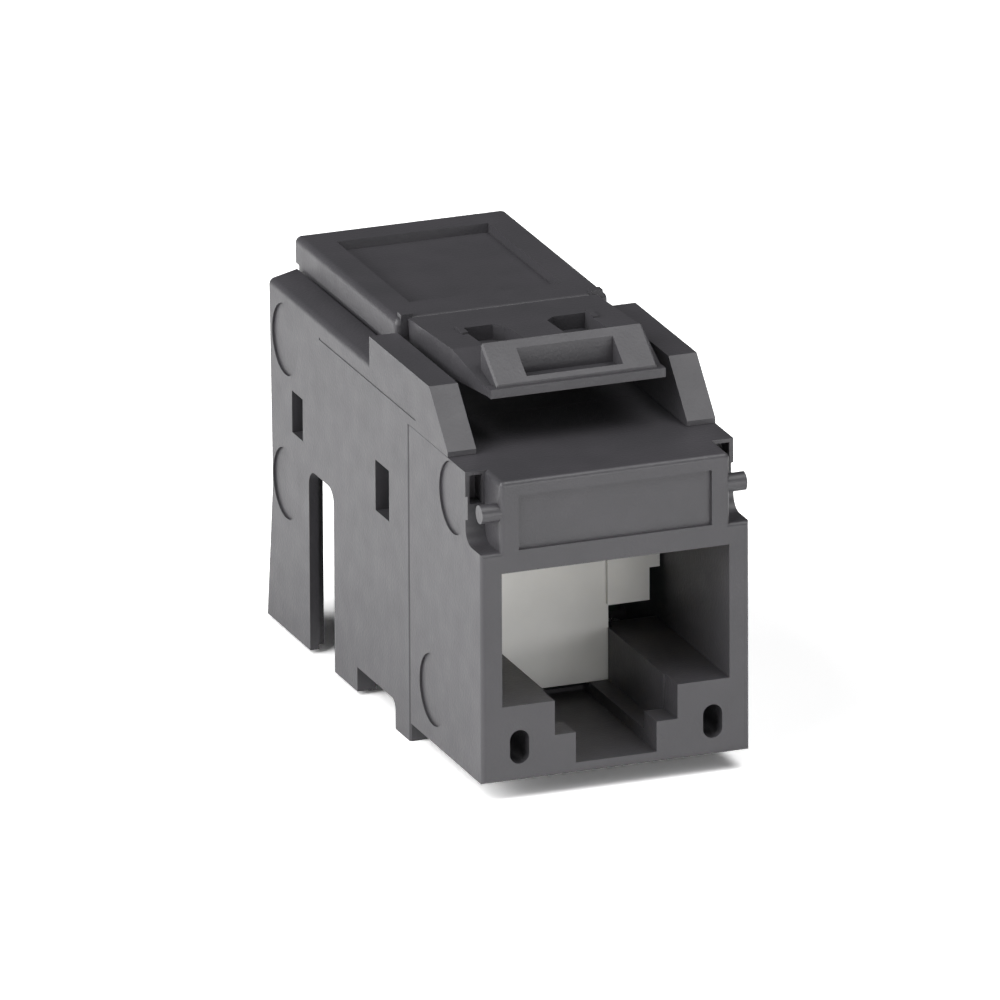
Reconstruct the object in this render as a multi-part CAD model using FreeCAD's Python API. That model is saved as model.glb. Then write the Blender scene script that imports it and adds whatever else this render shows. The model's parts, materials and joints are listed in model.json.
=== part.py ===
import FreeCAD, Part
import math
import os

# Keystone jack: a black snap-in modular socket with a sprung dust shutter in its port.
# Millimetres. X is the width, +Y runs from the port's face to the cable end, +Z is up.
# The pieces are drawn from the lower front edge of the front housing (y = 0, z = 0) and are
# moved on export, so that the finished jack stands on z = 0 with its footprint round the origin.

V = FreeCAD.Vector

# ---- Overall sizes ----
width = 14.14
front_depth = 10.0            # port's face to the seam with the rear shell
shell_end = 29.5              # port's face to the waist of the shell's rear edge
front_height = 15.6           # underside to the top ledge of the front housing
joint_gap = 0.02              # hairline between mouldings that butt together
slide_clearance = 0.10        # loose fit between inner pieces and their pockets
weld = 0.1                    # how far fused features sink into each other
beyond = 1.0                  # how far cutting shapes run past the body
sides = (-1, 1)
half = width / 2

# ---- Plug port ----
port_wall = 1.07              # side wall beside the port
port_width = width - 2 * port_wall
port_floor = 3.93
port_ceiling = 10.88
tab_width = 6.48              # first step of the tab notch
tab_floor = 2.14
tongue_width = 4.27           # second step of the tab notch
tongue_floor = 0.56
lip_depth = 1.7               # front lip that the plug's tab hooks behind
tab_bay_floor = 1.2
tab_bay_width = 6.3

# ---- Bezel and hinge pins ----
bezel_lap = 0.05              # how far the bezel overhangs the port on each side
bezel_width = port_width + 2 * bezel_lap
bezel_notch_drop = 3.65       # from the top ledge down to the notch
bezel_notch_floor = front_height - bezel_notch_drop
bezel_notch_depth = 2.15
bezel_notch_round = 0.8
notch_socket_depth = 1.0      # shallow hole in the back of the notch
notch_socket_inner = 0.12     # plastic on each side of the hole
notch_socket_outer = 0.22
notch_socket_sill = 1.95
notch_socket_roof = 0.2
label_margin = 0.96           # bezel beside the label panel
label_width = bezel_width - 2 * label_margin
label_drop = 0.75
label_height = 2.85
label_top = front_height - label_drop
label_bottom = label_top - label_height
label_depth = 0.2
pin_radius = 0.47
pin_y = 0.5
pin_drop = 1.68
pin_z = front_height - pin_drop
pin_length = 0.93
pin_root = 0.5                # length sunk in the bezel
ceiling_wall = 2.4            # thickness of the bezel wall in front of the contact bay
bay_side_wall = 0.95          # narrower than the port by this much a side
bay_width = port_width - 2 * bay_side_wall
bay_roof = 0.9
bay_top = front_height - bay_roof
edge_round = 0.25
seam_bevel = 0.1              # on both sides of the seam between housing and shell

# ---- Oval core holes and shutter rods ----
oval_inset = 0.9              # from the port's side wall in to the middle of the hole
oval_x = port_width / 2 - oval_inset
oval_z = 1.77
oval_width = 1.02
oval_height = 1.75
oval_depth = 2.6
rod_radius = 0.4
rod_fit = 0.05
spring_radius = 0.74
spring_wire = 0.11
spring_turns = 4
spring_margin = 0.33          # plastic round the spring's end on its stop
spring_pressed = 1.6          # length left when the shutter is right back

# ---- Shutter ----
shutter_inset = 0.7           # from the seam forward to the front of the shutter at rest
shutter_face = front_depth - shutter_inset
shutter_thickness = 1.0
shutter_travel = 2.4
spring_seat = shutter_face + shutter_thickness + shutter_travel + spring_pressed
shutter_top_gap = 0.28
shutter_top = port_ceiling - shutter_top_gap
shutter_step = 6.85           # height at which the plate narrows
shutter_shoulder = 5.15       # underside of the T's arms
shutter_side_gap = 0.15
shutter_head_width = port_width - 2 * shutter_side_gap
shutter_step_in = 0.55
shutter_waist_width = shutter_head_width - 2 * shutter_step_in
shutter_tongue_width = 6.4
shutter_foot = 1.6
shutter_arm_proud = 0.25      # the T's arms stand forward of its tongue
shutter_arm_lap = 0.12
lug_height = 1.3

# ---- Rear shell ----
wall = 1.0
wall_inner = half - wall
rail_width = 1.5
rail_inner = half - rail_width
rail_rise = 1.85
rail_top = front_height + rail_rise
rail_fall = 0.35              # the rail's top slopes down to its outer edge
rail_round = 0.35
rail_lean = 0.35              # the rear edge leans back from its waist to the rails
rail_end = shell_end + rail_lean
cheek_rise = 2.9
cheek_top = front_height + cheek_rise
shoulder_top_y = 7.07
shoulder_foot_y = 4.55
shoulder_foot_rise = 0.28
shoulder_foot_z = front_height + shoulder_foot_rise
deck = 0.88
floor_thickness = 0.75
skirt_bottom = -0.8
skirt_flare = 0.65            # how far the skirt's rear corner leans back
skirt_flare_height = 5.3
front_foot_bottom = -1.0
front_foot_length = 2.05
rear_foot_front = 17.4
foot_notch_top = 0.5
foot_round = 0.5
side_slot_width = 3.5
side_slot_inset = 8.92        # from the shell's rear edge to the slot's front edge
side_slot_front = shell_end - side_slot_inset
side_slot_top = 8.8
side_slot_round = 0.8
slot_rim_wall = 0.5           # the wall thins to this round the slot
slot_rim_reach = 0.7
floor_land = 0.18             # wall between the floor's end and the side slot
floor_end = side_slot_front - floor_land
depth = shell_end + skirt_flare

# ---- Windows in the side walls: front, back, bottom and top ----
window_rise = 1.42            # from the port's ceiling up to the front window's top
window_top = port_ceiling + window_rise
front_window_setback = 2.75
front_window_length = 1.91
front_window_height = 2.65
front_window_y = front_depth + front_window_setback
front_window = (front_window_y, front_window_y + front_window_length,
                window_top - front_window_height, window_top)
rear_window_inset = 3.08
rear_window_length = 1.52
rear_window_height = 2.2
rear_window_drop = 0.1
rear_window_end = shell_end - rear_window_inset
rear_window_top = window_top - rear_window_drop
rear_window = (rear_window_end - rear_window_length, rear_window_end,
               rear_window_top - rear_window_height, rear_window_top)

# ---- Moulding marks on the side faces: radius, depth, then (y, z) of each ----
mark_radius = 1.85
mark_depth = 0.12
mark_inset = 2.15             # from the shell's rear edge
front_mark_drop = 1.88        # from the top ledge
shell_mark_drop = 1.0
front_marks = [(3.9, front_height - front_mark_drop), (6.8, 2.77)]
shell_marks = [(shell_end - mark_inset, front_height - shell_mark_drop), (shell_end - mark_inset, 7.0)]

# ---- Witness line along the shell's side ----
witness_rise = 0.5            # above the top ledge
witness_height = 0.12
witness_depth = 0.03
witness_end_inset = 7.0

# ---- Snap arms that hold the front housing in the shell ----
snap_arm_thickness = 0.8
snap_arm_height = 1.05
snap_hook_reach = 0.75
snap_hook_land = 0.3          # flat tip of the hook

# ---- Top cover and latch ----
cover_overhang = 0.09         # how far the lid laps over each rail
cover_width = 2 * (rail_inner + cover_overhang)
cover_front = 15.45
cheek_gap = 0.05
cheek_end = cover_front - cheek_gap
cover_rise = 3.58
cover_top = front_height + cover_rise
cover_lid = 1.38
cover_plinth_inset = 0.28
cover_end_gap = 0.05
cover_end = rail_end - cover_end_gap
cover_corner = 0.3
cover_round = 0.35
cover_wall = 1.0
stop_width = 0.6              # small stops on the lid beside the arm's root
stop_length = 0.5
stop_rise = 0.2
stop_inset = 0.3
recess_margin = 1.61
recess_width = cover_width - 2 * recess_margin
recess_setback = 2.3
recess_front = cover_front + recess_setback
recess_rear_margin = 1.85
recess_back = cover_end - recess_rear_margin
recess_depth = 0.5
latch_gap = 0.57              # between the arm and each cheek
latch_width = 2 * (rail_inner - latch_gap)
latch_thickness = 1.2
latch_rise = 0.3              # the arm's top climbs gently towards the ramp
latch_bend_y = 9.3
latch_nose_y = 5.5
latch_nose_drop = 0.68
latch_nose_z = cover_top - latch_nose_drop
latch_nose_thickness = 0.32
latch_nose_bottom = latch_nose_z - latch_nose_thickness
latch_root_relief = 2.0       # degrees left free behind the root when the arm is down
latch_swing = 9.0             # degrees that the arm is pressed down at the most
pivot_y = cover_front - joint_gap
lip_front_y = 5.0             # lip along the arm's nose
lip_length = 0.7
lip_height = 0.47
lip_top = latch_nose_bottom + lip_height
lip_step = 0.38               # arm beside the lip
lip_width = latch_width - 2 * lip_step
ramp_setback = 0.2            # lip's front edge to the foot of the ramp
ramp_front_y = lip_front_y + ramp_setback
ramp_sill = 0.15
ramp_bevel = 0.1              # along the ramp's sloping edges
ramp_back_y = 7.3
ramp_climb = 1.65
ramp_top = lip_top + ramp_climb
ramp_step = 0.75              # arm beside the ramp
ramp_width = latch_width - 2 * ramp_step
ramp_pocket_width = 5.1
ramp_pocket_wall = 0.43       # behind the pocket at the crest
ramp_pocket_rim = 0.25        # in front of the pocket
arm_pocket_inner = 1.1
arm_pocket_outer = 3.3
arm_pocket_splay = 0.5        # how far the inner edge swings out towards the root
arm_pocket_bend = 12.1
arm_pocket_back = 12.6
arm_pocket_depth = 0.8
arm_rib_width = 0.3
arm_rib_length = 1.1
arm_rib_rise = 0.15

# ---- Contacts and their carrier ----
contact_count = 8
contact_pitch = 1.02
contact_width = 0.36
contact_thickness = 0.26
contact_slot = 0.56
contact_fit = 0.05
contact_row_shares = (0.45, 0.66)   # places of the odd and even runs between ceiling and bay top
contact_rows = [port_ceiling + share * (bay_top - port_ceiling) for share in contact_row_shares]
contact_bend = 0.52           # bend radius of the lower run
contact_slope = 25.0          # slope of the sprung beam, degrees
contact_front = 3.0           # port's face to the contacts' front bends
contact_tip_gap = 0.9
contact_tip = shutter_face - contact_tip_gap
contact_tail = 0.6
carrier_bottom = port_ceiling + joint_gap
carrier_slot_land = 0.4
carrier_slot_end = front_depth - carrier_slot_land
carrier_slot_room = 0.35
carrier_slot_top = contact_rows[1] + carrier_slot_room

# ---- Circuit board ----
board_setback = 5.2           # from the seam
board_front = front_depth + board_setback
board_thickness = 1.2
board_back = board_front + board_thickness
board_clearance = 0.17        # to the shell's side walls and roof
board_width = 2 * (wall_inner - board_clearance)
board_bottom = floor_thickness + slide_clearance
board_top = front_height - deck - board_clearance

# ---- Terminal block and insulation-displacement terminals ----
block_base = 1.2
block_base_back = board_back + block_base
post_length = 2.7
block_tip = block_base_back + post_length
spine_reach = 1.0
spine_tip = block_tip + spine_reach
column_inner = 2.2
column_side_gap = 0.42
column_outer = wall_inner - column_side_gap
terminal_x = (column_inner + column_outer) / 2
terminal_rows = 4
column_margin = 0.65
column_bottom = board_bottom + column_margin
column_lap = 0.1
column_top = contact_rows[0] + column_lap
terminal_mid_z = (column_bottom + column_top) / 2
terminal_pitch = (column_top - column_bottom) / terminal_rows
terminal_hole = 0.4
terminal_thickness = 0.5
terminal_height = 2.0
terminal_fit = 0.05
terminal_slot = 0.35
terminal_slot_length = 2.1
wire_gap = 0.9
spine_width = 0.8
post_bevel = 0.3
block_retainer = 0.25
block_retainer_length = 0.6


def box(x0, x1, y0, y1, z0, z1):
    return Part.makeBox(x1 - x0, y1 - y0, z1 - z0, V(x0, y0, z0))


def both_sides(x0, x1, y0, y1, z0, z1):
    """The same block on the left and on the right; x0 and x1 are distances from the middle."""
    right = box(x0, x1, y0, y1, z0, z1)
    return right.fuse(box(-x1, -x0, y0, y1, z0, z1))


def profile_yz(points, x0, x1):
    """A side profile, given as (y, z) points, drawn out across the width."""
    wire = Part.makePolygon([V(x0, y, z) for y, z in points + points[:1]])
    return Part.Face(wire).extrude(V(x1 - x0, 0, 0))


def profile_xz(points, y0, y1):
    """A front profile, given as (x, z) points, drawn out along the depth."""
    wire = Part.makePolygon([V(x, y0, z) for x, z in points + points[:1]])
    return Part.Face(wire).extrude(V(0, y1 - y0, 0))


def profile_xy(points, z0, z1):
    """A plan, given as (x, y) points, drawn up through the height."""
    wire = Part.makePolygon([V(x, y, z0) for x, y in points + points[:1]])
    return Part.Face(wire).extrude(V(0, 0, z1 - z0))


def rod_y(radius, x, z, y0, y1):
    return Part.makeCylinder(radius, y1 - y0, V(x, y0, z), V(0, 1, 0))


def rod_x(radius, y, z, x0, x1):
    return Part.makeCylinder(radius, x1 - x0, V(x0, y, z), V(1, 0, 0))


def edges_where(shape, test):
    return [e for e in shape.Edges if test(e.BoundBox)]


def near(a, b):
    return abs(a - b) < 1e-4


def oval(x, z, oval_w, oval_h, y0, y1):
    """An upright slot with round ends, sunk along the depth."""
    r = oval_w / 2
    reach = oval_h / 2 - r
    body = box(x - r, x + r, y0, y1, z - reach, z + reach)
    return body.fuse([rod_y(r, x, z - reach, y0, y1), rod_y(r, x, z + reach, y0, y1)])


def side_marks(centres):
    """Shallow round ejector marks in both outer side faces."""
    marks = []
    for y, z in centres:
        for side in sides:
            x0 = side * half - mark_depth
            marks.append(rod_x(mark_radius, y, z, x0, x0 + 2 * mark_depth))
    return marks


def side_window(window):
    y0, y1, z0, z1 = window
    return both_sides(wall_inner - beyond, half + beyond, y0, y1, z0, z1)


# ---- Front housing ----

def bezel_notch():
    """The open corner beside the bezel, with the blind hole in its back."""
    notch = box(bezel_width / 2, half + beyond, -beyond, bezel_notch_depth,
                bezel_notch_floor, front_height + beyond)
    corner = edges_where(notch, lambda b: near(b.YMin, bezel_notch_depth) and near(b.YMax, bezel_notch_depth)
                         and near(b.ZMax, bezel_notch_floor))
    notch = notch.makeFillet(bezel_notch_round, corner)
    socket = box(bezel_width / 2 + notch_socket_inner, half - notch_socket_outer,
                 bezel_notch_depth - weld, bezel_notch_depth + notch_socket_depth,
                 bezel_notch_floor + notch_socket_sill, front_height - notch_socket_roof)
    return notch.fuse(socket)


def front_blank():
    notch = bezel_notch()
    blank = box(-half, half, 0, front_depth, 0, front_height)
    blank = blank.cut([notch, notch.mirror(V(0, 0, 0), V(1, 0, 0))])
    front_edges = edges_where(blank, lambda b: near(b.YMin, 0) and near(b.YMax, 0))
    bezel_corners = edges_where(blank, lambda b: near(b.YMin, 0) and near(b.YMax, bezel_notch_depth)
                                and near(b.ZMin, front_height))
    blank = blank.makeFillet(edge_round, front_edges + bezel_corners)
    seam_edges = edges_where(blank, lambda b: near(b.YMin, front_depth) and near(b.XMin, b.XMax)
                             and near(abs(b.XMin), half))
    return blank.makeChamfer(seam_bevel, seam_edges)


def port_space():
    """The plug's cavity, the stepped tab notch in the front lip and the bay behind the lip."""
    back = front_depth + beyond
    roof = port_floor + weld
    cavity = box(-port_width / 2, port_width / 2, -beyond, back, port_floor, port_ceiling)
    first = box(-tab_width / 2, tab_width / 2, -beyond, lip_depth, tab_floor, roof)
    second = box(-tongue_width / 2, tongue_width / 2, -beyond, back, tongue_floor, roof)
    tongue_half = shutter_tongue_width / 2 + 2 * slide_clearance
    tongue_front = shutter_face - slide_clearance
    bay = box(-tab_bay_width / 2, tab_bay_width / 2, lip_depth, back, tab_bay_floor, roof)
    tongue_bay = box(-tongue_half, tongue_half, tongue_front, back, tab_bay_floor, roof)
    lug_top = oval_z + lug_height / 2 + slide_clearance
    lug_bottom = oval_z - lug_height / 2 - slide_clearance
    lug_way = box(-port_width / 2, port_width / 2, tongue_front, back, lug_bottom, lug_top)
    return cavity.fuse([first, second, bay, tongue_bay, lug_way])


def snap_arms():
    """Arms that run back inside the shell and hook outwards into its front windows."""
    y0, y1, z0, z1 = front_window
    x_out = wall_inner - slide_clearance
    x_in = x_out - snap_arm_thickness
    top = z1 - 2 * slide_clearance
    arms = []
    hook = y0 + slide_clearance
    tip = x_out + snap_hook_reach
    for side in sides:
        plan = [(x_in, front_depth), (x_in, y1), (x_out, y1), (tip, hook + snap_hook_land), (tip, hook),
                (x_out, hook), (x_out, front_depth)]
        arms.append(profile_xy([(side * x, y) for x, y in plan], top - snap_arm_height, top))
    return arms


def front_housing():
    body = front_blank()
    back = front_depth + beyond
    bay = box(-bay_width / 2, bay_width / 2, ceiling_wall, back, port_ceiling - weld, bay_top)
    label = box(-label_width / 2, label_width / 2, -beyond, label_depth, label_bottom, label_top)
    cuts = [port_space(), bay, label]
    for side in sides:
        cuts.append(oval(side * oval_x, oval_z, oval_width, oval_height, -beyond, oval_depth))
        cuts.append(rod_y(rod_radius + rod_fit, side * oval_x, oval_z, oval_depth - weld, back))
    body = body.cut(cuts + side_marks(front_marks))
    pins = []
    for side in sides:
        root = bezel_width / 2 - pin_root
        tip = bezel_width / 2 + pin_length
        x0, x1 = (root, tip) if side > 0 else (-tip, -root)
        pins.append(rod_x(pin_radius, pin_y, pin_z, x0, x1))
    body = body.fuse(pins + snap_arms())
    return body.removeSplitter()


# ---- Rear shell ----

def shell_side_profile():
    """Outline of one side wall seen from the side, with its shoulder, step, skirt and feet."""
    lap = front_height + joint_gap
    seam = front_depth + joint_gap
    return [
        (seam, front_foot_bottom),
        (seam, lap),
        (shoulder_foot_y, lap),
        (shoulder_foot_y, shoulder_foot_z),
        (shoulder_top_y, cheek_top),
        (cheek_end, cheek_top),
        (cheek_end, rail_top),
        (rail_end, rail_top),
        (shell_end, skirt_bottom + skirt_flare_height),
        (depth, skirt_bottom),
        (rear_foot_front, skirt_bottom),
        (rear_foot_front, foot_notch_top),
        (front_depth + front_foot_length, foot_notch_top),
        (front_depth + front_foot_length, front_foot_bottom),
    ]


def shell_blank():
    outline = profile_yz(shell_side_profile(), -half, half)
    foot_y = front_depth + front_foot_length
    foot_corner = edges_where(outline, lambda b: near(b.YMin, foot_y) and near(b.YMax, foot_y)
                              and near(b.ZMin, foot_notch_top) and near(b.ZMax, foot_notch_top))
    outline = outline.makeFillet(foot_round, foot_corner)
    back = depth + beyond
    below = front_foot_bottom - beyond
    between = box(-rail_inner, rail_inner, -beyond, back, front_height, cheek_top + beyond)
    slopes = [profile_xz([(side * rail_inner, rail_top), (side * half, rail_top - rail_fall),
                          (side * (half + beyond), rail_top - rail_fall), (side * (half + beyond), cheek_top),
                          (side * rail_inner, cheek_top)], cheek_end, back) for side in sides]
    outline = outline.cut([between] + slopes)
    rail_edges = edges_where(outline, lambda b: b.YMax > shell_end + weld and b.ZMax > front_height
                             and near(max(abs(b.XMin), abs(b.XMax)), half))
    outline = outline.makeFillet(rail_round, rail_edges)
    seam_edges = edges_where(outline, lambda b: near(b.YMax, front_depth + joint_gap)
                             and near(b.YMin, b.YMax) and near(b.XMin, b.XMax) and near(abs(b.XMin), half))
    outline = outline.makeChamfer(seam_bevel, seam_edges)
    inside = box(-wall_inner, wall_inner, front_depth - beyond, back, floor_thickness, front_height - deck)
    open_below = box(-wall_inner, wall_inner, floor_end, back, below, floor_thickness + weld)
    between_feet = box(-wall_inner, wall_inner, front_depth - beyond, floor_end + weld, below, 0)
    return outline.cut([inside, open_below, between_feet])


def spring_stops():
    """Blocks on the shell's floor that take the rods' ends and the springs' thrust."""
    reach = spring_radius + spring_margin
    blocks = both_sides(oval_x - reach, wall_inner + weld, spring_seat, board_front - joint_gap,
                        floor_thickness - weld, oval_z + reach)
    holes = [rod_y(rod_radius + rod_fit, side * oval_x, oval_z, spring_seat - beyond, board_front + beyond)
             for side in sides]
    return blocks.cut(holes)


def block_retainers():
    """Ribs on the side walls behind the terminal block's base."""
    y0 = block_base_back + joint_gap
    return both_sides(wall_inner - block_retainer, wall_inner + weld, y0, y0 + block_retainer_length,
                      board_bottom, board_top)


def rear_shell():
    slot = both_sides(wall_inner - beyond, half + beyond, side_slot_front, side_slot_front + side_slot_width,
                      skirt_bottom - beyond, side_slot_top)
    slot_corners = edges_where(slot, lambda b: near(b.ZMin, side_slot_top) and near(b.ZMax, side_slot_top)
                               and near(b.YMin, b.YMax))
    slot = slot.makeFillet(side_slot_round, slot_corners)
    rim = both_sides(wall_inner - beyond, half - slot_rim_wall, side_slot_front,
                     side_slot_front + side_slot_width + slot_rim_reach, skirt_bottom - beyond,
                     side_slot_top + slot_rim_reach)
    witness_z = front_height + witness_rise
    witness = both_sides(half - witness_depth, half + beyond, front_depth - beyond,
                         shell_end - witness_end_inset, witness_z, witness_z + witness_height)
    body = shell_blank()
    body = body.cut([slot, rim, witness, side_window(front_window), side_window(rear_window)]
                    + side_marks(shell_marks))
    body = body.fuse([spring_stops(), block_retainers()])
    return body.removeSplitter()


# ---- Top cover and latch arm ----

def top_cover():
    lid_half = cover_width / 2
    lid_bottom = cover_top - cover_lid
    lid = box(-lid_half, lid_half, cover_front, cover_end, lid_bottom, cover_top)
    corners = edges_where(lid, lambda b: near(b.YMax, cover_front) and near(b.XMin, b.XMax))
    lid = lid.makeFillet(cover_corner, corners)
    rims = edges_where(lid, lambda b: (near(b.ZMin, cover_top) and not near(b.YMax, cover_front))
                       or (near(b.YMin, cover_end) and near(b.XMin, b.XMax)))
    lid = lid.makeFillet(cover_round, rims)
    plinth_half = lid_half - cover_plinth_inset
    seat = front_height + joint_gap
    plinth = box(-plinth_half, plinth_half, cover_front, cover_end, seat, lid_bottom)
    stops = both_sides(lid_half - stop_inset - stop_width, lid_half - stop_inset, cover_front,
                       cover_front + stop_length, lid_bottom, cover_top + stop_rise)
    hollow = box(cover_wall - plinth_half, plinth_half - cover_wall, cover_front + cover_wall,
                 cover_end - cover_wall, seat - beyond, lid_bottom)
    recess = box(-recess_width / 2, recess_width / 2, recess_front, recess_back,
                 cover_top - recess_depth, cover_top + beyond)
    return lid.fuse([plinth, stops]).cut([hollow, recess]).removeSplitter()


def latch_slab():
    """The flexing arm: flat from its root, climbing a little, then bent down to a narrower nose."""
    arm_top = cover_top + latch_rise
    root_slant = latch_thickness * math.tan(math.radians(latch_swing + latch_root_relief))
    outline = [
        (pivot_y, cover_top),
        (latch_bend_y, arm_top),
        (latch_nose_y, latch_nose_z),
        (latch_nose_y, latch_nose_bottom),
        (latch_bend_y, arm_top - latch_rise - latch_thickness),
        (pivot_y - root_slant, cover_top - latch_thickness),
    ]
    root = latch_width / 2
    nose = lip_width / 2
    right = [(root, pivot_y), (root, latch_bend_y), (nose, latch_nose_y)]
    plan = right + [(-x, y) for x, y in reversed(right)]
    return profile_yz(outline, -root, root).common(profile_xy(plan, latch_nose_bottom - beyond, ramp_top))


def latch_ramp():
    """The lip along the nose and, above it, the ramp that rides past the panel's edge."""
    lip = box(-lip_width / 2, lip_width / 2, lip_front_y, lip_front_y + lip_length,
              latch_nose_bottom, lip_top)
    root = (latch_nose_bottom + lip_top) / 2
    outline = [(ramp_front_y, root), (ramp_front_y, lip_top + ramp_sill), (ramp_back_y, ramp_top),
               (ramp_back_y, root)]
    ramp = profile_yz(outline, -ramp_width / 2, ramp_width / 2)
    sloping = edges_where(ramp, lambda b: b.YMax - b.YMin > weld and b.ZMax - b.ZMin > weld)
    return lip.fuse(ramp.makeChamfer(ramp_bevel, sloping))


def arm_dents(floor_z):
    """Pockets in the arm behind the ramp, each with its inner back corner cut off."""
    dents = []
    for side in sides:
        plan = [(arm_pocket_inner, ramp_back_y), (arm_pocket_inner, arm_pocket_bend),
                (arm_pocket_inner + arm_pocket_splay, arm_pocket_back),
                (arm_pocket_outer, arm_pocket_back), (arm_pocket_outer, ramp_back_y)]
        dents.append(profile_xy([(side * x, y) for x, y in plan], floor_z, ramp_top + beyond))
    return dents


def latch_arm():
    body = latch_slab().fuse(latch_ramp())
    pocket = box(-ramp_pocket_width / 2, ramp_pocket_width / 2, ramp_front_y + ramp_pocket_rim,
                 ramp_back_y - ramp_pocket_wall, lip_top, ramp_top + beyond)
    floor_z = cover_top + latch_rise / 2 - arm_pocket_depth
    ribs = both_sides(arm_pocket_outer, arm_pocket_outer + arm_rib_width, arm_pocket_back - arm_rib_length,
                      arm_pocket_back, floor_z, cover_top + latch_rise / 2 + arm_rib_rise)
    return body.cut([pocket] + arm_dents(floor_z)).fuse(ribs).removeSplitter()


# ---- Shutter, rods and springs ----

def shutter():
    head = shutter_head_width / 2
    waist = shutter_waist_width / 2
    tongue = shutter_tongue_width / 2
    right = [(head, shutter_top), (head, shutter_step), (waist, shutter_step), (waist, shutter_shoulder),
             (tongue, shutter_shoulder), (tongue, shutter_foot)]
    outline = right + [(-x, z) for x, z in reversed(right)]
    back = shutter_face + shutter_thickness
    plate = profile_xz(outline, shutter_face, back)
    arm_inner = tongue - shutter_arm_lap
    arm_front = shutter_face - shutter_arm_proud
    arm_outline = [(arm_inner, shutter_top)] + right[:4] + [(arm_inner, shutter_shoulder)]
    arms = [profile_xz([(side * x, z) for x, z in arm_outline], arm_front, back) for side in sides]
    lug_reach = port_width / 2 - slide_clearance
    lugs = box(-lug_reach, lug_reach, shutter_face + slide_clearance, back,
               oval_z - lug_height / 2, oval_z + lug_height / 2)
    holes = [rod_y(rod_radius + rod_fit, side * oval_x, oval_z, shutter_face - beyond, back + beyond)
             for side in sides]
    return plate.fuse([lugs] + arms).cut(holes).removeSplitter()


def guide_rod(side):
    """A steel rod, socketed in the front housing, that the shutter's lug runs along."""
    return rod_y(rod_radius, side * oval_x, oval_z, oval_depth + rod_fit, board_front - slide_clearance)


def shutter_spring(side):
    """A compression spring round the rod, between the shutter's lug and the shell's stop."""
    start = shutter_face + shutter_thickness + joint_gap + spring_wire
    end = spring_seat - joint_gap - spring_wire
    coil = Part.makeHelix((end - start) / spring_turns, end - start, spring_radius)
    corners = [(1, 0), (0, 1), (-1, 0), (0, -1), (1, 0)]
    section = Part.makePolygon([V(spring_radius + spring_wire * i, 0, spring_wire * j) for i, j in corners])
    spring = coil.makePipeShell([section], True, True)
    spring.rotate(V(0, 0, 0), V(1, 0, 0), -90)
    spring.translate(V(side * oval_x, start, oval_z))
    return spring


# ---- Contacts and their carrier ----

def contact_x(index):
    return (index - (contact_count - 1) / 2) * contact_pitch


def contact_row(index):
    return contact_rows[index % 2]


def contact(index):
    """One sprung strip: straight from the board, round the front bend and back down into the port."""
    x = contact_x(index)
    top = contact_row(index)
    slope = math.radians(contact_slope)
    drop = contact_bend * (1 + math.cos(slope))
    radius = contact_bend + (top - contact_rows[0]) / (1 + math.cos(slope))
    y_mid = contact_front + radius
    z_mid = top - radius

    def on_bend(turn):
        return V(x, y_mid - radius * math.sin(turn), z_mid + radius * math.cos(turn))

    tail = V(x, board_back + contact_tail, top)
    bend_start = on_bend(0)
    bend_end = on_bend(math.pi - slope)
    reach = contact_tip - bend_end.y
    tip = V(x, contact_tip, contact_rows[0] - drop - reach * math.tan(slope))
    path = Part.Wire([
        Part.makeLine(tail, bend_start),
        Part.Arc(bend_start, on_bend((math.pi - slope) / 2), bend_end).toShape(),
        Part.makeLine(bend_end, tip),
    ])
    w = contact_width / 2
    t = contact_thickness / 2
    section = Part.makePolygon([tail + V(i, 0, k) for i, k in ((w, t), (-w, t), (-w, -t), (w, -t), (w, t))])
    return path.makePipeShell([section], True, True)


def contact_passage(index, y0, y1):
    """Room for one contact's straight run."""
    x = contact_x(index)
    z = contact_row(index)
    half_x = contact_width / 2 + contact_fit
    half_z = contact_thickness / 2 + contact_fit
    return box(x - half_x, x + half_x, y0, y1, z - half_z, z + half_z)


def contact_carrier():
    """The comb that is the port's ceiling: a slot for each beam and a passage for each run."""
    block_half = bay_width / 2 - slide_clearance
    back = board_front - joint_gap
    block = box(-block_half, block_half, ceiling_wall + slide_clearance, back,
                carrier_bottom, bay_top - slide_clearance)
    cuts = []
    for index in range(contact_count):
        x = contact_x(index)
        cuts.append(box(x - contact_slot / 2, x + contact_slot / 2, contact_front - contact_thickness,
                        carrier_slot_end, carrier_bottom - beyond, carrier_slot_top))
        cuts.append(contact_passage(index, carrier_slot_end - beyond, back + beyond))
    return block.cut(cuts)


# ---- Circuit board ----

def terminal_places():
    """Middle (x, z) of each terminal, down the left column and then down the right one."""
    top = terminal_mid_z + terminal_pitch * (terminal_rows - 1) / 2
    return [(side * terminal_x, top - row * terminal_pitch) for side in sides for row in range(terminal_rows)]


def circuit_board():
    board = box(-board_width / 2, board_width / 2, board_front, board_back, board_bottom, board_top)
    y0 = board_front - beyond
    y1 = board_back + beyond
    holes = [contact_passage(index, y0, y1) for index in range(contact_count)]
    holes += [rod_y(terminal_hole, x, z, y0, y1) for x, z in terminal_places()]
    return board.cut(holes)


# ---- Terminal block and terminals ----

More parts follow.
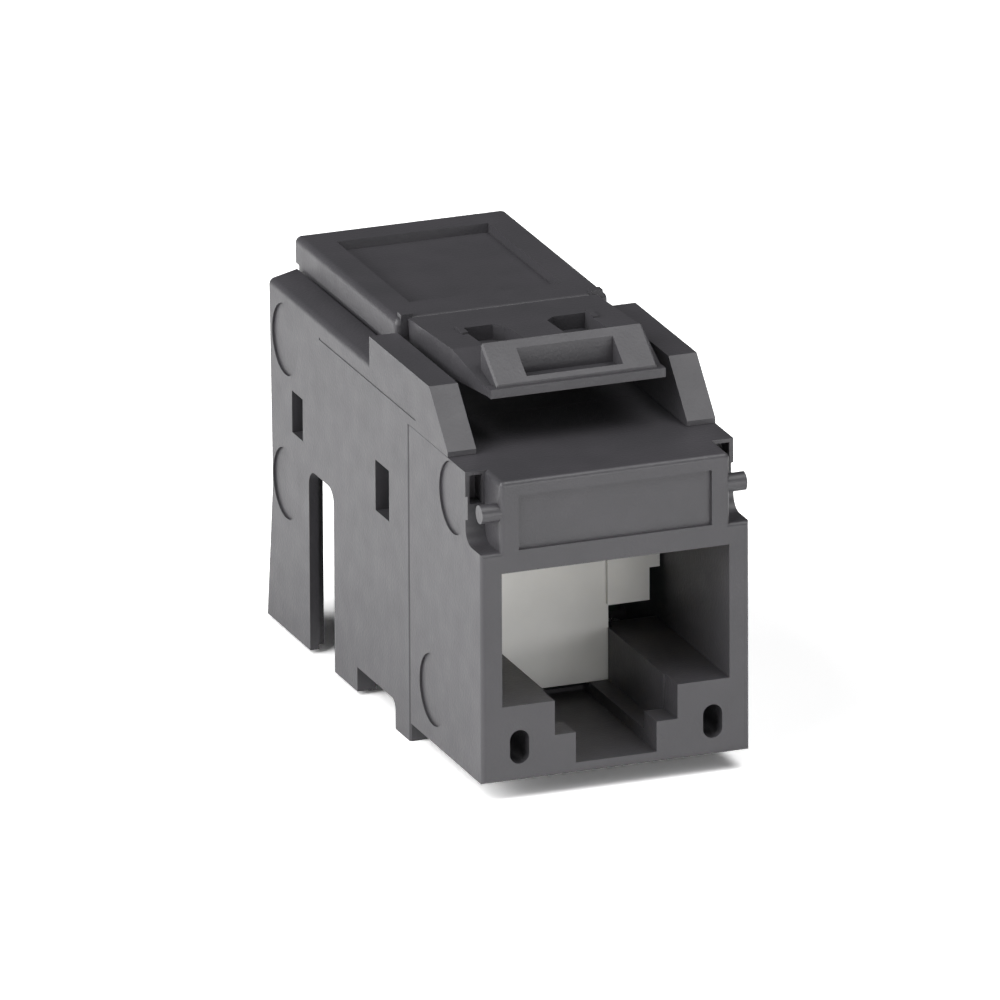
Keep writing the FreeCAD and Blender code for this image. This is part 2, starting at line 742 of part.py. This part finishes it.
def terminal_block():
    """Base plate with two columns of pointed posts; wires are pushed in between the posts."""
    front = board_back + joint_gap
    base = box(-board_width / 2, board_width / 2, front, block_base_back, board_bottom, board_top)
    columns = both_sides(column_inner, column_outer, block_base_back - weld, block_tip,
                         column_bottom, column_top)
    gaps = []
    for x, z in terminal_places():
        side = math.copysign(1, x)
        x0, x1 = sorted((side * (column_inner - beyond), side * (column_outer + beyond)))
        gap = wire_gap / 2
        taper = block_tip - post_bevel * 2
        slit = [(block_base_back, z - gap), (taper, z - gap), (block_tip, z - gap - post_bevel),
                (block_tip, z + gap + post_bevel), (taper, z + gap), (block_base_back, z + gap)]
        gaps.append(profile_yz(slit, x0, x1))
    spine = box(-spine_width / 2, spine_width / 2, block_base_back - weld, spine_tip,
                board_bottom, board_top - slide_clearance)
    nose = edges_where(spine, lambda b: near(b.YMin, spine_tip) and near(b.XMin, b.XMax))
    spine = spine.makeFillet(spine_width / 2 - joint_gap, nose)
    body = base.fuse(columns.cut(gaps)).fuse(spine)
    pockets = []
    for x, z in terminal_places():
        half_x = terminal_thickness / 2 + terminal_fit
        half_z = terminal_height / 2 + terminal_fit
        pockets.append(box(x - half_x, x + half_x, front - beyond, block_tip + beyond,
                           z - half_z, z + half_z))
    tail_room = contact_x(contact_count - 1) + contact_width
    pockets.append(box(-tail_room, tail_room, front - beyond, board_back + contact_tail + slide_clearance,
                       contact_rows[0] - contact_thickness, contact_rows[1] + contact_thickness))
    return body.cut(pockets).removeSplitter()


def terminal(x, z):
    """A forked blade that bites through a wire's insulation, with a tail soldered in the board."""
    tip = block_tip - post_bevel
    root = tip - terminal_slot_length
    shoulder = board_back + 2 * joint_gap
    edge = terminal_height / 2
    fork = terminal_slot / 2
    tail = terminal_hole / math.sqrt(2) - terminal_fit
    mouth = fork + post_bevel
    upper = [(board_front, tail), (shoulder, tail), (shoulder, edge), (tip - post_bevel, edge),
             (tip, edge - post_bevel), (tip, mouth), (tip - 2 * post_bevel, fork), (root, fork)]
    lower = [(y, -offset) for y, offset in reversed(upper)]
    outline = [(y, z + offset) for y, offset in upper + lower]
    return profile_yz(outline, x - terminal_thickness / 2, x + terminal_thickness / 2)


def export(name, shape):
    """Write one piece, moved so that the jack stands on z = 0 with its footprint centred."""
    moved = shape.copy()
    moved.translate(V(0, -depth / 2, -front_foot_bottom))
    moved.exportStep("parts/%s.step" % name)
    print(name, moved.isValid(), len(moved.Solids), round(moved.Volume, 3))


os.makedirs("parts", exist_ok=True)
export("front_housing", front_housing())
export("rear_shell", rear_shell())
export("top_cover", top_cover())
export("latch_arm", latch_arm())
export("shutter", shutter())
for side, hand in ((-1, "left"), (1, "right")):
    export("guide_rod_" + hand, guide_rod(side))
    export("shutter_spring_" + hand, shutter_spring(side))
export("contact_carrier", contact_carrier())
for index in range(contact_count):
    export("contact_%d" % (index + 1), contact(index))
export("circuit_board", circuit_board())
export("terminal_block", terminal_block())
for number, (x, z) in enumerate(terminal_places(), start=1):
    export("terminal_%d" % number, terminal(x, z))
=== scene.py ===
import bpy
import json
import math
from mathutils import Matrix, Vector


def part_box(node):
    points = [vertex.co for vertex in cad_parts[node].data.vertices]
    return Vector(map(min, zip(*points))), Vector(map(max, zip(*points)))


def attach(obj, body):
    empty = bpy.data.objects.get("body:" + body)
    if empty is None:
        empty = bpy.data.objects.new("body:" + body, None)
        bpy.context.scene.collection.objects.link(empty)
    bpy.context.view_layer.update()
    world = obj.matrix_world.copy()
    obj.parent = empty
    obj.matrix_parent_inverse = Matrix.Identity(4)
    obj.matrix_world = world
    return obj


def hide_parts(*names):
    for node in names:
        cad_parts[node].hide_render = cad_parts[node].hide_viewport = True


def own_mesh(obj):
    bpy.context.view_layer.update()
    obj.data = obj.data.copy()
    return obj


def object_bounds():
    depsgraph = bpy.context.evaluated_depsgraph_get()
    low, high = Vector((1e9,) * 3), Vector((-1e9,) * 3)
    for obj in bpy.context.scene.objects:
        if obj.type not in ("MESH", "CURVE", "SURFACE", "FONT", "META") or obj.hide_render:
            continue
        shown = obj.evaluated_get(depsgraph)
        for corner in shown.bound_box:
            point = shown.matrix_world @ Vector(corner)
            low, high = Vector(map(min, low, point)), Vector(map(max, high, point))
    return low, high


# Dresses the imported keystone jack: a material on every piece, rounded edges, round-wire springs behind
# the shutter, white paper to stand on, a dim studio with five soft boxes, and a camera.
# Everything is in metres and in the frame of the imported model; MM turns millimetres into metres.

MM = 0.001
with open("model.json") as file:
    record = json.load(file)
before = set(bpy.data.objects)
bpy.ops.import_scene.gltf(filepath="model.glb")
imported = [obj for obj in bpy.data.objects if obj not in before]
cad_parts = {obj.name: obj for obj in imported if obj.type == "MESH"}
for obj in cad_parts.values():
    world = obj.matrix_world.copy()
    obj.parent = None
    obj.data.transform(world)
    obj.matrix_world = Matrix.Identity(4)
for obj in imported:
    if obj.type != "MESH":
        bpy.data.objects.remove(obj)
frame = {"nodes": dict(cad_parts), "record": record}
cad_low, cad_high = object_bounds()


# ---- Camera ----

CAMERA_AZIMUTH = -20.917       # degrees from straight in front of the plug port, negative towards -X
CAMERA_ELEVATION = 19.004      # degrees
CAMERA_ROLL = -0.29            # degrees
CAMERA_DISTANCE = 1.2078
CAMERA_TARGET = Vector((-3.004, -7.057, 12.775)) * MM
CAMERA_LENS = 881.0            # focal length in real millimetres, on a sensor 36 mm wide
CAMERA_CLIP = (0.05, 20)       # nearest and farthest distance that it sees


def make_camera():
    azimuth = math.radians(CAMERA_AZIMUTH)
    elevation = math.radians(CAMERA_ELEVATION)
    back = Vector((math.sin(azimuth) * math.cos(elevation), -math.cos(azimuth) * math.cos(elevation),
                   math.sin(elevation)))
    level = Vector((math.cos(azimuth), math.sin(azimuth), 0))
    roll = Matrix.Rotation(math.radians(CAMERA_ROLL), 3, "Z")
    turned = Matrix((level, back.cross(level), back)).transposed() @ roll
    data = bpy.data.cameras.new("camera")
    data.lens = CAMERA_LENS
    data.clip_start, data.clip_end = CAMERA_CLIP
    camera = bpy.data.objects.new("camera", data)
    bpy.context.scene.collection.objects.link(camera)
    camera.matrix_world = Matrix.Translation(CAMERA_TARGET + back * CAMERA_DISTANCE) @ turned.to_4x4()
    bpy.context.scene.camera = camera


# ---- Shader building blocks ----

NOISE_LOW = 0.3                # most of a noise texture's values lie between these two
NOISE_HIGH = 0.7


def new_material(name):
    """A material with its node tree, its shader and the place that its textures are laid out by."""
    material = bpy.data.materials.new(name)
    material.use_nodes = True
    tree = material.node_tree
    place = tree.nodes.new("ShaderNodeTexCoord").outputs["Object"]
    return material, tree, tree.nodes["Principled BSDF"], place


def noise(tree, place, size, detail=2.0, stretch=(1, 1, 1)):
    """Noise whose features are about this size."""
    mapping = tree.nodes.new("ShaderNodeMapping")
    mapping.inputs["Scale"].default_value = [k / size for k in stretch]
    tree.links.new(place, mapping.inputs["Vector"])
    texture = tree.nodes.new("ShaderNodeTexNoise")
    texture.inputs["Scale"].default_value = 1.0
    texture.inputs["Detail"].default_value = detail
    tree.links.new(mapping.outputs["Vector"], texture.inputs["Vector"])
    return texture.outputs["Fac"]


def spread(tree, value, low, high, start=NOISE_LOW, end=NOISE_HIGH):
    """Low where the value is at start or less, high where it is at end or more, and a ramp between."""
    node = tree.nodes.new("ShaderNodeMapRange")
    node.inputs["From Min"].default_value = start
    node.inputs["From Max"].default_value = end
    node.inputs["To Min"].default_value = low
    node.inputs["To Max"].default_value = high
    tree.links.new(value, node.inputs["Value"])
    return node.outputs["Result"]


def clouded_colour(tree, shader, clouds, dark, light):
    """Colours the shader from dark to light by the clouds of a noise."""
    node = tree.nodes.new("ShaderNodeMix")
    node.data_type = "RGBA"
    node.inputs["A"].default_value = (*dark, 1)
    node.inputs["B"].default_value = (*light, 1)
    tree.links.new(spread(tree, clouds, 0, 1), node.inputs["Factor"])
    tree.links.new(node.outputs["Result"], shader.inputs["Base Color"])


def bump(tree, shader, height, depth):
    """Raises the shader's surface by up to depth where the height is 1."""
    node = tree.nodes.new("ShaderNodeBump")
    node.inputs["Distance"].default_value = depth
    tree.links.new(height, node.inputs["Height"])
    tree.links.new(node.outputs["Normal"], shader.inputs["Normal"])


# ---- Materials ----

FLOW_MARKS = 3.0 * MM          # size of the faint cloudy marks in moulded plastic
SHEEN_PATCHES = 1.4 * MM       # size of its duller and shinier patches
SHEEN_SPREAD = 0.03            # how far their roughness is from the plastic's own, either way
METAL_LINES = 0.05 * MM        # width of the fine lines in drawn metal
METAL_LINE_STRETCH = (1, 0.05, 1)      # they run along the jack
METAL_LINE_DEPTH = 0.002 * MM
METAL_SMOOTHER = 0.06          # how far the lines' roughness goes below the metal's own
METAL_ROUGHER = 0.08           # and above it
TARNISH_PATCHES = 0.8 * MM


def moulded_plastic(name, dark, light, rough, grain, depth):
    """Moulded plastic: a fine spark-eroded grain, faint flow marks and uneven sheen."""
    material, tree, shader, place = new_material(name)
    clouded_colour(tree, shader, noise(tree, place, FLOW_MARKS, detail=3.0), dark, light)
    patches = noise(tree, place, SHEEN_PATCHES, detail=4.0)
    sheen = spread(tree, patches, rough - SHEEN_SPREAD, rough + SHEEN_SPREAD)
    tree.links.new(sheen, shader.inputs["Roughness"])
    bump(tree, shader, noise(tree, place, grain), depth)
    return material


def drawn_metal(name, dark, light, rough):
    """Metal with fine lines along the jack and slight tarnish."""
    material, tree, shader, place = new_material(name)
    clouded_colour(tree, shader, noise(tree, place, TARNISH_PATCHES, detail=3.0), dark, light)
    lines = noise(tree, place, METAL_LINES, stretch=METAL_LINE_STRETCH)
    sheen = spread(tree, lines, rough - METAL_SMOOTHER, rough + METAL_ROUGHER)
    tree.links.new(sheen, shader.inputs["Roughness"])
    bump(tree, shader, lines, METAL_LINE_DEPTH)
    shader.inputs["Metallic"].default_value = 1.0
    return material


# darkest colour, lightest colour and roughness; the plastics also have the size and depth of their grain
PLASTICS = {
    "black_plastic": ((0.040, 0.039, 0.043), (0.046, 0.044, 0.049), 0.46, 0.16 * MM, 0.014 * MM),
    "shutter_plastic": ((0.71, 0.71, 0.69), (0.77, 0.77, 0.75), 0.42, 0.10 * MM, 0.002 * MM),
    "carrier_plastic": ((0.028, 0.028, 0.030), (0.040, 0.040, 0.042), 0.55, 0.10 * MM, 0.004 * MM),
    "block_plastic": ((0.050, 0.050, 0.055), (0.070, 0.070, 0.075), 0.48, 0.12 * MM, 0.004 * MM),
    "board": ((0.012, 0.12, 0.05), (0.020, 0.17, 0.07), 0.30, 0.25 * MM, 0.001 * MM),
}
METALS = {
    "steel": ((0.42, 0.42, 0.43), (0.58, 0.58, 0.59), 0.28),
    "contact_metal": ((0.78, 0.55, 0.20), (0.88, 0.66, 0.28), 0.22),
    "terminal_metal": ((0.62, 0.61, 0.58), (0.75, 0.74, 0.70), 0.32),
}


def make_materials():
    """The material of each slot, by the slot's name."""
    materials = {slot: moulded_plastic(slot, *values) for slot, values in PLASTICS.items()}
    materials.update({slot: drawn_metal(slot, *values) for slot, values in METALS.items()})
    return materials


# ---- Nodes ----

# radius of the small moulded rounding on each node's sharp edges, in millimetres
ROUNDINGS = {"front_housing": 0.07, "rear_shell": 0.07, "latch_arm": 0.015, "shutter": 0.06,
             "terminal_block": 0.06, "contact_carrier": 0.05, "circuit_board": 0.03}
ROUNDING_SEGMENTS = 2
SHARP_EDGE = math.radians(35)  # an edge where the surface turns by more than this is rounded


def dress_nodes(materials):
    """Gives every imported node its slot's material, and rounds the mouldings' sharp edges."""
    for entry in frame["record"]["subparts"]:
        node = entry["node"]
        piece = frame["nodes"][node]
        piece.data.materials.clear()
        piece.data.materials.append(materials[entry["material_slot"]])
        if node in ROUNDINGS:
            rounding = piece.modifiers.new("rounding", "BEVEL")
            rounding.width = ROUNDINGS[node] * MM
            rounding.segments = ROUNDING_SEGMENTS
            rounding.limit_method = "ANGLE"
            rounding.angle_limit = SHARP_EDGE


# ---- Shutter springs ----

SPRING_WIRE = 0.11 * MM        # radius
SPRING_TURNS = 5.5
SPRING_CLOSED_TURNS = 1.0      # turns that lie against each other at each end
SPRING_STEPS = 28              # sections to a turn
WIRE_SIDES = 10
ALONG = Vector((0, 1, 0))      # the way that the springs point


def wire_rise(turn, length):
    """How far along a spring of this length the middle of its wire is after so many turns."""
    closed_pitch = 2 * SPRING_WIRE
    open_turns = SPRING_TURNS - 2 * SPRING_CLOSED_TURNS
    open_pitch = (length - closed_pitch * (1 + 2 * SPRING_CLOSED_TURNS)) / open_turns
    opened = min(max(turn - SPRING_CLOSED_TURNS, 0), open_turns)
    return SPRING_WIRE + closed_pitch * (turn - opened) + open_pitch * opened


def wire_rings(low, high):
    """Rings of points around a round wire that is coiled along Y inside the given box."""
    middle = (low + high) / 2
    coil = (high.x - low.x) / 2 - SPRING_WIRE
    angles = [math.tau * side / WIRE_SIDES for side in range(WIRE_SIDES)]
    rings = []
    for step in range(round(SPRING_TURNS * SPRING_STEPS) + 1):
        turn = step / SPRING_STEPS
        outwards = Vector((math.cos(math.tau * turn), 0, math.sin(math.tau * turn)))
        rise = low.y + wire_rise(turn, high.y - low.y)
        centre = Vector((middle.x, rise, middle.z)) + outwards * coil
        rings.append([centre + (outwards * math.cos(angle) + ALONG * math.sin(angle)) * SPRING_WIRE
                      for angle in angles])
    return rings


def wire_mesh(name, rings):
    """A smooth tube through the rings, with a flat cap at each end."""
    points = [point for ring in rings for point in ring]
    last = len(points) - WIRE_SIDES
    caps = [tuple(range(WIRE_SIDES)), tuple(last + side for side in reversed(range(WIRE_SIDES)))]
    walls = []
    for ring in range(0, last, WIRE_SIDES):
        for side in range(WIRE_SIDES):
            here = ring + side
            beside = ring + (side + 1) % WIRE_SIDES
            walls.append((here, here + WIRE_SIDES, beside + WIRE_SIDES, beside))
    mesh = bpy.data.meshes.new(name)
    mesh.from_pydata(points, [], caps + walls)
    mesh.polygons.foreach_set("use_smooth", [False] * len(caps) + [True] * len(walls))
    return mesh


def coil_spring(node, steel):
    """A round-wire spring with closed ends in place of the plain CAD one, carried by the jack's body."""
    low, high = (Vector(corner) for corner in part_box(node))
    mesh = wire_mesh(node + "_wire", wire_rings(low, high))
    mesh.materials.append(steel)
    spring = bpy.data.objects.new(node + "_wire", mesh)
    bpy.context.scene.collection.objects.link(spring)
    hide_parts(node)
    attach(spring, "jack")
    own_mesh(spring)


# ---- Floor, light and background ----

FLOOR_SIZE = 6.0
FLOOR_LIGHTING = 0.55          # how pale the paper is for the light that it throws back on the object
FLOOR_REFLECTED = 1.5          # the same in reflections and through clear pieces
FLOOR_SEEN = 1.5               # the same as seen, where it is white up to the object's shadow
HORIZON_GLOW = 0.15
HORIZON_TOP = 0.05             # sine of the elevation up to which the horizon's glow holds
SKY_GLOW = 0.02
SKY_BOTTOM = 0.25              # sine of the elevation from which the sky's glow holds

# name, place, width and height, and glow of each soft box; the glow sets how bright its surface is
SOFT_BOXES = (
    ("overhead", (0.2, -0.18, 0.6), (0.45, 0.45), 4.7),
    ("front", (0.32, -0.75, 0.06), (0.5, 0.12), 9.6),
    ("middle", (-0.1, -0.75, 0.2), (0.4, 0.2), 3.4),
    ("left", (-0.75, -0.15, 0.22), (0.7, 0.4), 4.2),
    ("left_high", (-0.6, 0.0, 0.5), (0.8, 0.7), 3.8),
)


def floor_paleness(tree):
    """How pale the paper is for each kind of ray."""
    path = tree.nodes.new("ShaderNodeLightPath")
    paleness = None
    for ray, level in (("Is Glossy Ray", FLOOR_REFLECTED), ("Is Transmission Ray", FLOOR_REFLECTED),
                       ("Is Camera Ray", FLOOR_SEEN)):
        more = tree.nodes.new("ShaderNodeMath")
        more.operation = "MULTIPLY_ADD"
        tree.links.new(path.outputs[ray], more.inputs[0])
        more.inputs[1].default_value = level - FLOOR_LIGHTING
        more.inputs[2].default_value = FLOOR_LIGHTING
        if paleness is not None:
            tree.links.new(paleness, more.inputs[2])
        paleness = more.outputs["Value"]
    return paleness


def make_floor():
    """White paper that is paler to look at, straight or in a reflection, than in what it lights."""
    bpy.ops.mesh.primitive_plane_add(size=FLOOR_SIZE, location=(0, 0, 0))
    floor = bpy.context.object
    floor.name = "floor"
    material = bpy.data.materials.new("floor_paper")
    material.use_nodes = True
    tree = material.node_tree
    tree.nodes.remove(tree.nodes["Principled BSDF"])
    paper = tree.nodes.new("ShaderNodeBsdfDiffuse")
    tree.links.new(floor_paleness(tree), paper.inputs["Color"])
    tree.links.new(paper.outputs["BSDF"], tree.nodes["Material Output"].inputs["Surface"])
    floor.data.materials.append(material)


def make_world():
    """A dim studio, a little brighter at the horizon than overhead."""
    world = bpy.data.worlds.new("studio")
    bpy.context.scene.world = world
    world.use_nodes = True
    tree = world.node_tree
    split = tree.nodes.new("ShaderNodeSeparateXYZ")
    tree.links.new(tree.nodes.new("ShaderNodeTexCoord").outputs["Generated"], split.inputs["Vector"])
    glow = spread(tree, split.outputs["Z"], HORIZON_GLOW, SKY_GLOW, HORIZON_TOP, SKY_BOTTOM)
    tree.links.new(glow, tree.nodes["Background"].inputs["Strength"])
    tree.nodes["Background"].inputs["Color"].default_value = (1, 1, 1, 1)


def soft_box(name, place, size, glow):
    """A rectangular lamp turned to the jack's middle. Its power is shared over its area."""
    width, height = size
    data = bpy.data.lights.new(name, "AREA")
    data.shape = "RECTANGLE"
    data.size = width
    data.size_y = height
    data.energy = glow * math.pi * width * height
    lamp = bpy.data.objects.new(name, data)
    bpy.context.scene.collection.objects.link(lamp)
    lamp.location = place
    lamp.rotation_mode = "QUATERNION"
    lamp.rotation_quaternion = ((cad_low + cad_high) / 2 - Vector(place)).to_track_quat("-Z", "Y")


# ---- The scene ----

bpy.context.scene.view_settings.view_transform = "Standard"
make_camera()
slot_materials = make_materials()
dress_nodes(slot_materials)
for spring_node in ("shutter_spring_left", "shutter_spring_right"):
    coil_spring(spring_node, slot_materials["steel"])
make_floor()
make_world()
for soft_box_values in SOFT_BOXES:
    soft_box(*soft_box_values)
